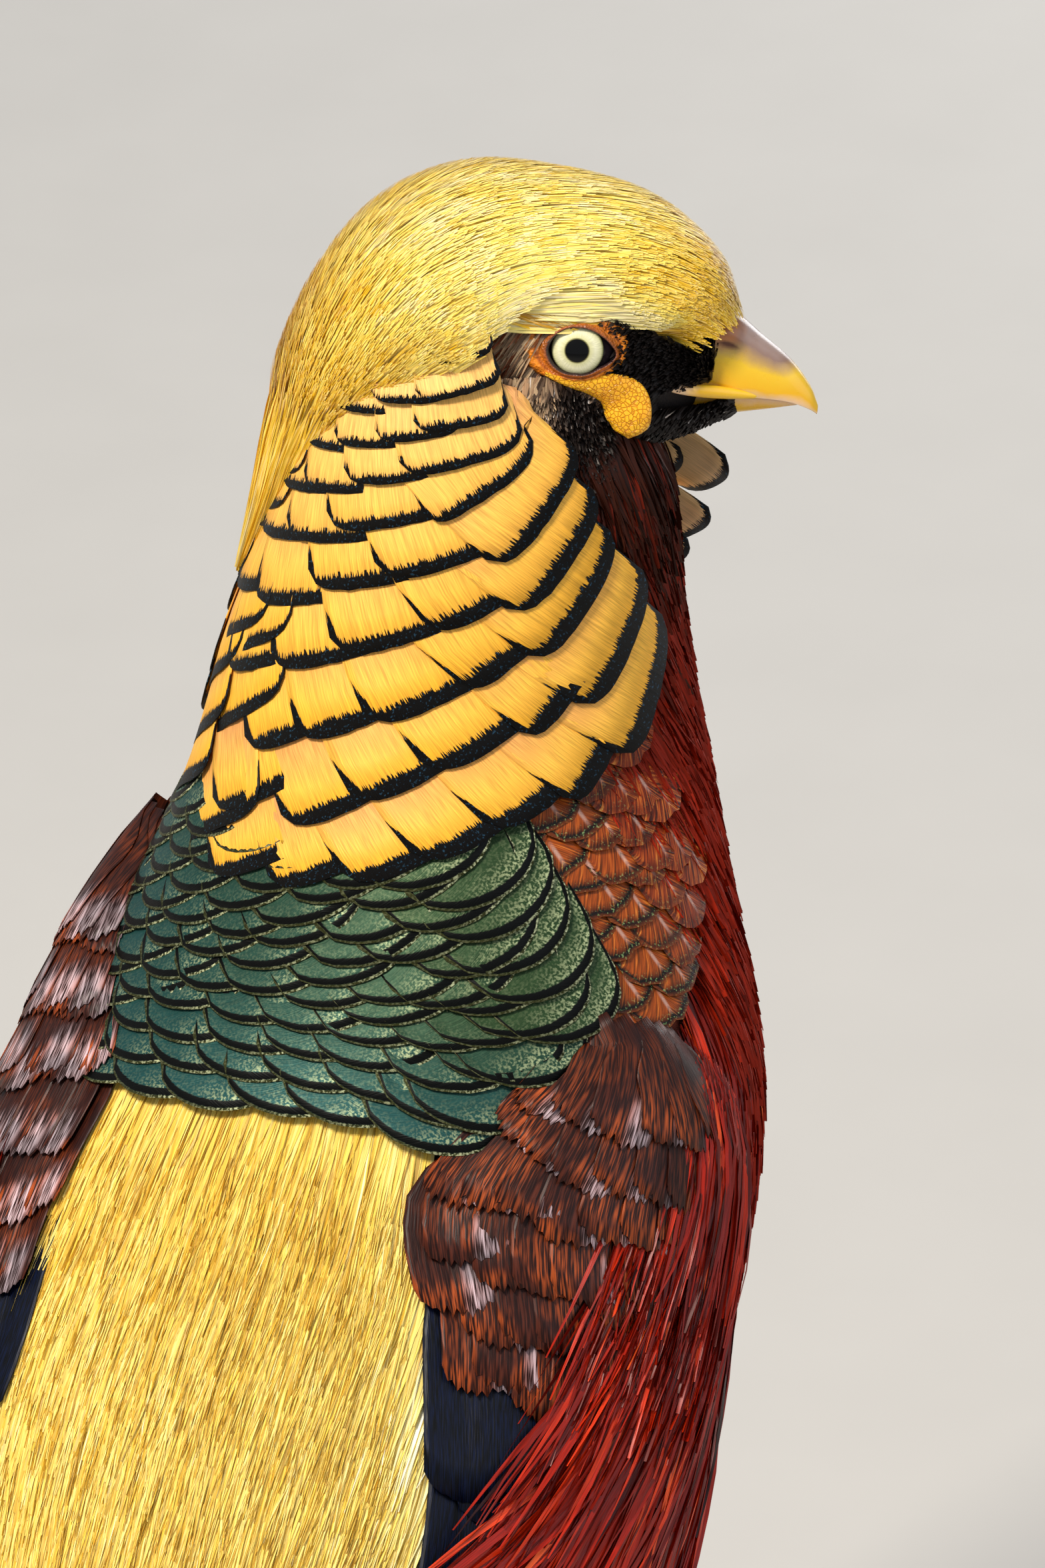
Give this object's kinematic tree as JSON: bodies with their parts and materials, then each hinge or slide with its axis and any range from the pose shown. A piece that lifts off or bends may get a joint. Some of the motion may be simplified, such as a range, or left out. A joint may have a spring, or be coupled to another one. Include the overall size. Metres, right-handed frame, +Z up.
{
  "type": "golden pheasant",
  "caption": "Standing golden pheasant cock, life size, still model with its head turned to its right, barred cape, golden crest and long tail.",
  "frame": {"origin": "on the floor, under the middle of the whole bird's box", "axes": "+X the way the body faces, +Y the bird's left, +Z up"},
  "size_m": [0.8495, 0.1278, 0.3547],
  "materials": {
    "golden_crest": "silky golden filaments",
    "barred_cape": "broad orange-gold feathers with blue-black bars",
    "body_plumage": "green mantle, gold rump and scarlet underparts of soft feathers",
    "wing_plumage": "maroon coverts and dark flight feathers with a slight sheen",
    "tail_plumage": "mottled brown and black feathers",
    "thigh_plumage": "short brown and scarlet feathers",
    "bill_horn": "yellow horn",
    "leg_scales": "scaled yellowish skin",
    "wattle_skin": "wrinkled bare skin",
    "eye_gloss": "wet, glossy",
    "claw_horn": "dark horn"
  },
  "bodies": {
    "root": {"bill_lower": "bill_horn", "bill_upper": "bill_horn", "claw_left_1": "claw_horn", "claw_left_2": "claw_horn", "claw_left_3": "claw_horn", "claw_left_4": "claw_horn", "claw_right_1": "claw_horn", "claw_right_2": "claw_horn", "claw_right_3": "claw_horn", "claw_right_4": "claw_horn", "eye_left": "eye_gloss", "eye_right": "eye_gloss", "foot_left": "leg_scales", "foot_right": "leg_scales", "head": "golden_crest", "neck": "barred_cape", "shank_left": "leg_scales", "shank_right": "leg_scales", "tail": "tail_plumage", "thigh_left": "thigh_plumage", "thigh_right": "thigh_plumage", "torso": "body_plumage", "wattle_left": "wattle_skin", "wattle_right": "wattle_skin", "wing_left": "wing_plumage", "wing_right": "wing_plumage"}
  },
  "joints": []
}
